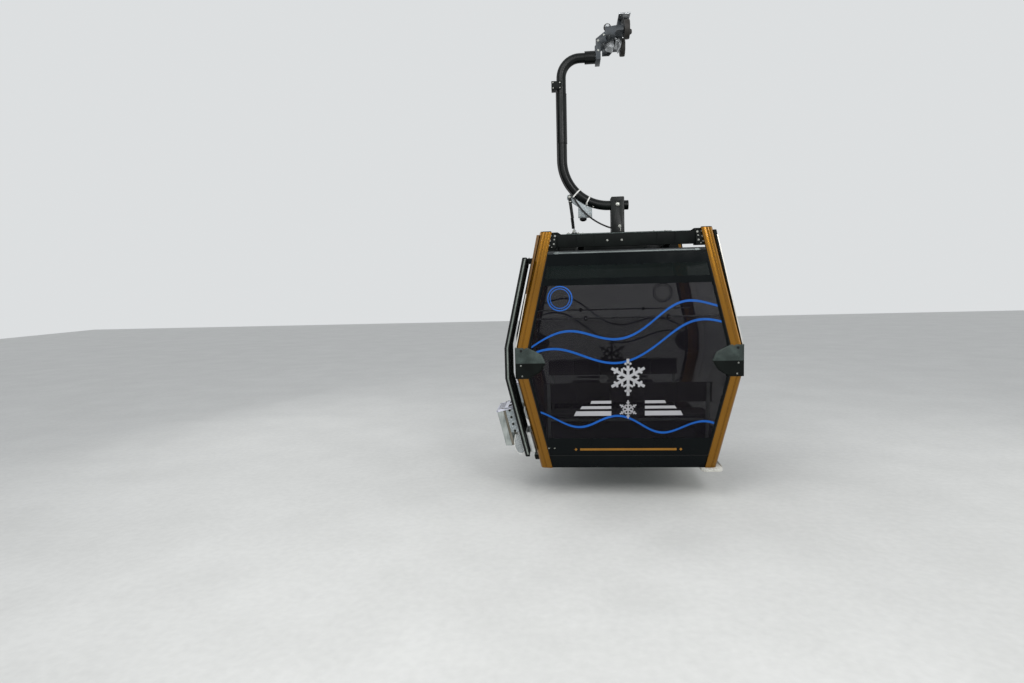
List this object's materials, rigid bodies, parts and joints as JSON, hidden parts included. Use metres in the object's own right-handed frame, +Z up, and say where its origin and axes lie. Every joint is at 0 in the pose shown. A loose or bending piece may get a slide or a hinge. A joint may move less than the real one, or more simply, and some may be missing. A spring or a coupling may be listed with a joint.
{
  "type": "ropeway gondola cabin with hanger and detachable rope grip",
  "caption": "Glazed gondola cabin with open sliding doors and ski racks, hung by a bowed tube hanger from a spring grip that clamps a haul rope.",
  "frame": {"origin": "on the haul rope's axis, at the middle of the clamp that the grip's jaws make", "axes": "+Y along the rope, +Z up, -X towards the door side"},
  "size_m": [2.3739, 2.104, 4.59],
  "materials": {
    "grip_paint": "satin",
    "bright_steel": "satin",
    "wheel_plastic": "matte",
    "hanger_paint": "satin",
    "damper_black": "gloss",
    "galvanised": "satin",
    "cable_jacket": "matte",
    "frame_paint": "satin",
    "post_gold": "satin",
    "cap_plastic": "matte",
    "roof_plastic": "gloss",
    "liner_grey": "matte",
    "tinted_pane": "gloss",
    "clear_pane": "gloss",
    "black_panel": "gloss",
    "door_frame": "satin",
    "floor_aluminium": "satin",
    "floor_rubber": "matte",
    "skid_plastic": "matte",
    "seat_plastic": "matte",
    "rail_aluminium": "satin",
    "bin_plastic": "matte"
  },
  "bodies": {
    "grip": {"grip_frame": "grip_paint", "fixed_jaw": "bright_steel", "drive_shoe": "bright_steel", "hanger_pin": "bright_steel"},
    "jaw": {"moving_jaw": "bright_steel"},
    "lever_roller": {"lever_roller": "wheel_plastic"},
    "wheel_front": {"running_wheel_front": "wheel_plastic"},
    "wheel_rear": {"running_wheel_rear": "wheel_plastic"},
    "guide_roller": {"guide_roller": "wheel_plastic"},
    "cabin": {"hanger_arm": "hanger_paint", "mast": "frame_paint", "mast_bolt": "galvanised", "damper_bracket": "galvanised", "damper_barrel": "damper_black", "damper_rod": "bright_steel", "hanger_cable": "cable_jacket", "cable_box": "cap_plastic", "roof_frame": "frame_paint", "frame_brackets": "frame_paint", "post_front_door": "post_gold", "post_front_far": "post_gold", "post_rear_door": "post_gold", "post_rear_far": "post_gold", "knee_caps": "cap_plastic", "corner_trims": "door_frame", "roof_shell": "roof_plastic", "ceiling": "liner_grey", "end_glass_front": "tinted_pane", "end_glass_rear": "tinted_pane", "end_sills": "black_panel", "side_glass": "tinted_pane", "side_sill": "black_panel", "door_sill": "black_panel", "door_header": "black_panel", "door_jambs": "door_frame", "door_side_glass": "tinted_pane", "floor_pan": "floor_aluminium", "floor_beams": "galvanised", "floor_mat": "floor_rubber", "guide_skid": "skid_plastic", "seats": "seat_plastic", "seat_backs": "seat_plastic", "bench_frames": "rail_aluminium", "window_bars": "bright_steel", "leaf_frame_front": "door_frame", "leaf_frame_rear": "door_frame", "leaf_glass_front": "clear_pane", "leaf_glass_rear": "clear_pane", "ski_racks": "rail_aluminium", "ski_bins": "bin_plastic", "door_rail_upper": "rail_aluminium", "door_rail_lower": "rail_aluminium", "door_arms": "door_frame"}
  },
  "joints": [
    {"name": "hanger_swing", "type": "hinge", "parent": "grip", "child": "cabin", "pos_m": [-0.275, 0, -0.09], "axis": [1, 0, 0], "range_deg": [-38, 38]},
    {"name": "jaw_open", "type": "hinge", "parent": "grip", "child": "jaw", "pos_m": [-0.085, 0, 0.06], "axis": [0, 1, 0], "range_deg": [0, 18], "stiffness_Nm_per_rad": 300, "springref_deg": -8.59},
    {"name": "lever_roller_spin", "type": "hinge", "parent": "jaw", "child": "lever_roller", "pos_m": [-0.085, 0, 0.21], "axis": [0, 1, 0], "continuous": true},
    {"name": "wheel_front_spin", "type": "hinge", "parent": "grip", "child": "wheel_front", "pos_m": [0.094, -0.25, 0.085], "axis": [1, 0, 0], "continuous": true},
    {"name": "wheel_rear_spin", "type": "hinge", "parent": "grip", "child": "wheel_rear", "pos_m": [0.094, 0.25, 0.085], "axis": [1, 0, 0], "continuous": true},
    {"name": "guide_roller_spin", "type": "hinge", "parent": "grip", "child": "guide_roller", "pos_m": [0.13, 0, 0.153], "axis": [0, 0, 1], "continuous": true}
  ]
}
